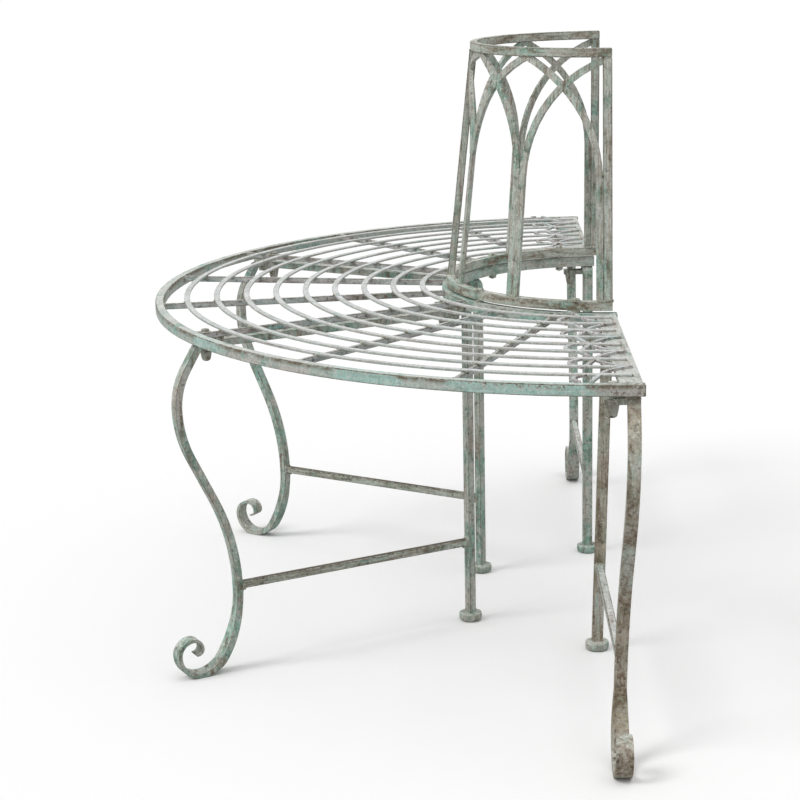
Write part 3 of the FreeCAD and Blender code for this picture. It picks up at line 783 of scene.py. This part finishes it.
def upright_welds(feet, heads):
    """Around each group of bars on the bottom rail, and under the top rail beside the posts."""
    right_uprights = [(-angle, -shift, wide) for angle, shift, wide in reversed(LEFT_UPRIGHTS)]
    for angle, shift, wide in LEFT_UPRIGHTS + [MIDDLE_UPRIGHT] + right_uprights:
        own = angle + BACK_TURN
        side = sideways(own)
        out = outwards(own)
        is_post = angle in (*END_ANGLES, 0.0)
        deep = POST_THICK if is_post else ARCH_THICK
        foot = RAIL_TOP + RAIL_LIFT
        middle = polar(back_radius(foot), own, foot) + side * shift
        for way in (-1, 1):
            centre = middle + out * way * deep / 2
            blob(feet, centre, side, wide * UPRIGHT_FACE_SHARE, thickness("upright_face"))
        edges = [middle - side * wide / 2, middle + side * wide / 2]
        if angle in END_ANGLES:
            edges = [middle - side * math.copysign(wide / 2, shift)]
        for centre in edges:
            blob(feet, centre, out, deep * UPRIGHT_SIDE_SHARE, thickness("upright_side"))
        if is_post:
            head = TOP_RAIL_FOOT - RAIL_LIFT
            middle = polar(back_radius(head), own, head) + side * shift * POST_HEAD_SHARE
            for way in (-1, 1):
                centre = middle + out * way * POST_HEAD_OUT
                blob(heads, centre, side, POST_HEAD_LONG, thickness("post_head"))


def pair_welds(shell):
    """Between the two bars of a pair, or a bar and its post."""
    for angle, shift in PAIR_WELD_SHIFTS:
        own = angle + BACK_TURN
        for z in PAIR_WELD_HEIGHTS:
            for way in (-1, 1):
                centre = polar(back_radius(z) + way * ARCH_THICK / 2, own, z) + sideways(own) * shift
                blob(shell, centre, UP, dice.uniform(*PAIRED_BARS_LONG), thickness("paired_bars"))


def arch_welds(shell):
    """Where two bars cross as a pointed arch, from the same arc that the bars follow."""
    for left, right in zip(UPRIGHT_ANGLES[:-1], UPRIGHT_ANGLES[1:]):
        side = ARCH_SIDE
        if left in END_ANGLES or right in END_ANGLES:
            side = POST_THICK + ARCH_SIDE
        if left == -right:
            side = 0.0
        bay = math.radians(right - left) * back_radius(TOP_RAIL_FOOT)
        bend = ((bay - side) ** 2 + ARCH_RISE ** 2) / (2 * (bay - side))
        turn = math.acos(1 - max(0.0, bay / 2 - side) / bend)
        z = ARCH_SPRING + bend * math.sin(turn)
        if z > TOP_RAIL_FOOT - CROSSING_CLEARANCE:
            continue
        own = (left + right) / 2 + BACK_TURN
        for way in (-1, 1):
            centre = polar(back_radius(z) + way * ARCH_THICK / 2, own, z)
            blob(shell, centre, UP, ARCH_CROSSING_LONG, ARCH_CROSSING_BEAD)


def back_welds():
    """All the welds of the backrest, as one piece at its feet and one at its heads."""
    feet = Shell()
    heads = Shell()
    upright_welds(feet, heads)
    pair_welds(feet)
    arch_welds(heads)
    feet.piece("back_foot_welds", "weld", "back_metal")
    heads.piece("back_head_welds", "weld", "back_metal")


def stretcher_welds(shell, name, out, side, hub):
    """Around both ends of one stretcher, with a fillet under each."""
    points = [vertex.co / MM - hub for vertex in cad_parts["leg_stretcher_" + name].data.vertices]
    reach = [point.dot(out) for point in points]
    across = [point.dot(side) for point in points]
    foot = min(point.z for point in points)
    top = max(point.z for point in points)
    middle = (min(across) + max(across)) / 2
    for radius in (min(reach), max(reach)):
        base = hub + out * radius
        for z in (foot, top):
            corner = base + side * (middle - STRETCHER_WIDE / 2 + STRETCHER_MARGIN)
            corner.z = z
            long = STRETCHER_WIDE - 2 * STRETCHER_MARGIN
            weld(shell, corner, corner + side * long, thickness("stretcher_edge"))
        for way in (-1, 1):
            corner = base + side * (middle + way * STRETCHER_WIDE / 2)
            corner.z = foot
            weld(shell, corner, corner + UP * STRETCHER_WIDE, thickness("stretcher_side"))
        inwards = out * (1 if radius == min(reach) else -1)
        below = base + side * middle
        below.z = foot - FILLET_DROP
        weld(shell, below, below + inwards * STRETCHER_FILLET_LONG, STRETCHER_FILLET)


def leg_welds():
    """Where the stretchers meet the legs, and along the cleats."""
    shell = Shell()
    hub = Vector((0, RING_Y, 0))
    for name, (angle, shift) in FRAMES.items():
        out = outwards(angle)
        side = sideways(angle)
        stretcher_welds(shell, name, out, side, hub)
        for radius in CLEAT_RADII:
            for z in (TOP_BAR_TOP, TOP_BAR_FOOT):
                for way in (-1, 1):
                    corner = hub + out * (radius - CLEAT_LONG / 2 + CLEAT_MARGIN)
                    corner += side * (shift + way * BAR_WIDE / 2)
                    corner.z = z
                    long = CLEAT_LONG - 2 * CLEAT_MARGIN
                    weld(shell, corner, corner + out * long, thickness("cleat_edge"))
    shell.piece("leg_welds", "weld", "leg_metal")


# Feet, nuts and bolt heads, turned with a six-sided part where it is asked for.
# Each profile lists heights above a level, and the radius there, in millimetres.
FOOT_BOTTOM = ((0.0, 12.6), (0.6, 14.0), (1.8, 15.2), (3.6, 15.9), (6.0, 16.2))
FOOT_TOP = ((-2.6, 16.2), (-1.2, 15.9), (-0.4, 15.2), (-0.1, 14.2), (0.2, 9.0))
CUP_COLLAR = ((0.0, 8.8), (-1.4, 8.8), (-1.5, 7.9), (-2.0, 8.0), (-8.0, 7.0))
CUP_END = ((5.2, 6.3), (3.2, 5.8), (1.6, 4.8), (0.5, 3.2), (0.0, 1.2))
CUP_DROP = 2.0
HEAD_CROWN = ((-0.3, 3.2), (0.25, 3.0), (0.5, 2.2))
HEAD_WASHER = ((-0.01, 6.0), (0.7, 6.0), (0.9, 5.7))
NUT_WASHER = ((-0.9, 6.2), (0.0, 6.2))
BOLT_TIP = ((0.0, 2.0), (0.5, 2.4), (2.0, 2.4))
NUT_LIFT = 1.2
NUT_HALF_WIDE = 4.9
SHANK_END_SHARE = 0.8
SHANK_END_LONG = 0.6
SHANK_OVERRUN = 0.3
CHAMFER = 0.7
HEX_END_SHARE = 0.94
HEX_EDGE_SHARE = 0.97
HEX_EDGE_TALL = 0.05

# The bolts of a node: name of the piece, height of the head, half its width, radius of the shank
BOLTS = {
    "leg_bolts": ("leg_hex_bolts", 4.0, 5.1, 3.3),
    "back_bolts": ("back_hex_bolts", 3.5, 4.9, 2.3),
}
FIXING_SPREAD = 20
FOOT_SPREAD = 40
FOOT_SIDES = 40
HEX_SIDES = 36
CUP_SIDES = 28
WASHER_SIDES = 24
SHANK_SIDES = 16


def islands(name, spread):
    """Middle, lowest and highest point of each small solid in a node, in millimetres.

    A point belongs to the first solid whose first point lies within the spread in plan.
    """
    groups = []
    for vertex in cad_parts[name].data.vertices:
        point = vertex.co / MM
        for group in groups:
            if (group[0] - point).xy.length < spread:
                group.append(point)
                break
        else:
            groups.append([point])
    found = []
    for group in groups:
        low = Vector([min(point[axis] for point in group) for axis in range(3)])
        high = Vector([max(point[axis] for point in group) for axis in range(3)])
        found.append(((low + high) / 2, low.z, high.z))
    return found


def raised(level, profile):
    """The stations of a profile above its level."""
    return [(level + height, radius) for height, radius in profile]


def turned(shell, place, turn, stations, sides, flat=None):
    """A turned shape from stations of height and radius. With flat, half the width of a hexagon cuts it."""
    rings = []
    for z, radius in stations:
        ring = []
        for side in range(sides):
            angle = 2 * math.pi * side / sides
            reach = radius
            if flat:
                corner = (angle + math.pi / 6) % (math.pi / 3) - math.pi / 6
                reach = min(radius, flat / math.cos(corner))
            spin = angle + turn
            ring.append(Vector((place.x + reach * math.cos(spin), place.y + reach * math.sin(spin), z)))
        rings.append(ring)
    shell.loft(rings)


def hexagon(shell, place, turn, low, high, flat):
    """A six-sided part with its corners turned off at both ends."""
    corner = flat / math.cos(math.pi / 6)
    end = ((0.0, flat * HEX_END_SHARE), (HEX_EDGE_TALL, flat * HEX_EDGE_SHARE), (CHAMFER, corner))
    mirrored = [(-height, radius) for height, radius in reversed(end)]
    turned(shell, place, turn, raised(low, end) + raised(high, mirrored), HEX_SIDES, flat)


def leg_feet():
    """Round pucks with soft edges under the inner legs."""
    for name in FRAMES:
        shell = Shell()
        for middle, low, high in islands("leg_foot_" + name, FOOT_SPREAD):
            turned(shell, middle, 0.0, raised(low, FOOT_BOTTOM) + raised(high, FOOT_TOP), FOOT_SIDES)
        shell.piece("leg_round_foot_" + name, "leg", "leg_metal", "leg_foot_" + name)


def leg_nuts():
    """Tapered cups with rounded ends, under a washer."""
    shell = Shell()
    for middle, low, high in islands("leg_nuts", FIXING_SPREAD):
        stations = raised(high, CUP_COLLAR) + raised(low - CUP_DROP, CUP_END)
        turned(shell, middle, dice.uniform(0, 1), stations, CUP_SIDES)
    shell.piece("leg_cup_nuts", "fixing", "fixings", "leg_nuts")


def bolt_heads():
    """Six-sided heads with a low crown, on a washer and a round shank."""
    for node, (name, head, flat, shank) in BOLTS.items():
        shell = Shell()
        for middle, low, high in islands(node, FIXING_SPREAD):
            spin = dice.uniform(0, 1)
            base = high - head
            stations = [(low, shank * SHANK_END_SHARE), (low + SHANK_END_LONG, shank),
                        (base + SHANK_OVERRUN, shank)]
            turned(shell, middle, spin, stations, SHANK_SIDES)
            hexagon(shell, middle, spin, base, high, flat)
            turned(shell, middle, spin, raised(high, HEAD_CROWN), SHANK_SIDES)
            turned(shell, middle, spin, raised(base, HEAD_WASHER), WASHER_SIDES)
        shell.piece(name, "fixing", "fixings", node)


def back_nuts():
    """Six-sided nuts under the inner rim, with a washer and the bolt's tip."""
    shell = Shell()
    for middle, low, high in islands("back_nuts", FIXING_SPREAD):
        spin = dice.uniform(0, 1)
        hexagon(shell, middle, spin, low + NUT_LIFT, high + NUT_WASHER[0][0], NUT_HALF_WIDE)
        turned(shell, middle, spin, raised(high, NUT_WASHER), WASHER_SIDES)
        turned(shell, middle, spin, raised(low, BOLT_TIP), SHANK_SIDES)
    shell.piece("back_hex_nuts", "fixing", "fixings", "back_nuts")


crossing_welds()
bar_welds()
back_welds()
leg_welds()
leg_feet()
leg_nuts()
bolt_heads()
back_nuts()


# Floor, light and camera

def make_floor():
    """A grey floor that the camera sees as white, with the bench's shadow on it."""
    mesh = bpy.data.meshes.new("floor")
    corners = [(x * FLOOR_HALF, y * FLOOR_HALF, 0) for x, y in ((-1, -1), (1, -1), (1, 1), (-1, 1))]
    mesh.from_pydata(corners, [], [(0, 1, 2, 3)])
    material = bpy.data.materials.new("pale_floor")
    material.use_nodes = True
    graph = Graph(material.node_tree)
    shader = material.node_tree.nodes["Principled BSDF"]
    shader.inputs["Roughness"].default_value = FLOOR_ROUGHNESS
    shader.inputs["Specular IOR Level"].default_value = 0.0
    shader.inputs["Base Color"].default_value = (FLOOR_GREY, FLOOR_GREY, FLOOR_GREY, 1)
    seen = graph.add("ShaderNodeBsdfDiffuse", {"Color": (FLOOR_SEEN, FLOOR_SEEN, FLOOR_SEEN, 1)})
    rays = graph.add("ShaderNodeLightPath").outputs
    values = {0: rays["Is Camera Ray"], 1: shader.outputs[0], 2: seen.outputs[0]}
    choice = graph.add("ShaderNodeMixShader", values)
    graph.put(material.node_tree.nodes["Material Output"].inputs["Surface"], choice.outputs[0])
    mesh.materials.append(material)
    floor = bpy.data.objects.new("floor", mesh)
    bpy.context.scene.collection.objects.link(floor)


def make_world():
    """Soft light from all sides, and plain white where the world itself is seen or mirrored."""
    world = bpy.data.worlds.new("studio")
    bpy.context.scene.world = world
    world.use_nodes = True
    graph = Graph(world.node_tree)
    soft = world.node_tree.nodes["Background"]
    soft.inputs["Color"].default_value = (1, 1, 1, 1)
    soft.inputs["Strength"].default_value = WORLD_LIGHT
    white = graph.add("ShaderNodeBackground", {"Color": (1, 1, 1, 1), "Strength": WORLD_SEEN})
    rays = graph.add("ShaderNodeLightPath").outputs
    seen = graph.larger(rays["Is Camera Ray"],
                        graph.larger(rays["Is Glossy Ray"], rays["Is Transmission Ray"]))
    choice = graph.add("ShaderNodeMixShader", {0: seen, 1: soft.outputs[0], 2: white.outputs[0]})
    graph.put(world.node_tree.nodes["World Output"].inputs["Surface"], choice.outputs[0])


def sun(name, towards, strength, spread):
    """A wide soft lamp that shines from the direction towards."""
    data = bpy.data.lights.new(name, "SUN")
    data.energy = strength
    data.angle = math.radians(spread)
    lamp = bpy.data.objects.new(name, data)
    lamp.rotation_euler = Vector(towards).to_track_quat("Z", "Y").to_euler()
    bpy.context.scene.collection.objects.link(lamp)


def make_camera():
    """The camera at the photo's place, turned by yaw, pitch and roll."""
    forward = Vector((-math.cos(YAW) * math.cos(PITCH), -math.sin(YAW) * math.cos(PITCH), -math.sin(PITCH)))
    right = Vector((forward.y, -forward.x, 0)).normalized()
    rise = right.cross(forward)
    turned_right = right * math.cos(ROLL) + rise * math.sin(ROLL)
    turned_rise = rise * math.cos(ROLL) - right * math.sin(ROLL)
    data = bpy.data.cameras.new("camera")
    data.lens = LENS
    data.sensor_width = SENSOR_WIDTH
    camera = bpy.data.objects.new("camera", data)
    bpy.context.scene.collection.objects.link(camera)
    rotation = Matrix((turned_right, turned_rise, -forward)).transposed()
    camera.matrix_world = Matrix.Translation(CAMERA_PLACE) @ rotation.to_4x4()
    bpy.context.scene.camera = camera


make_floor()
make_world()
sun("key_light", *KEY_LIGHT)
sun("top_light", *TOP_LIGHT)
make_camera()
bpy.context.scene.view_settings.view_transform = "Standard"

bpy.context.view_layer.update()
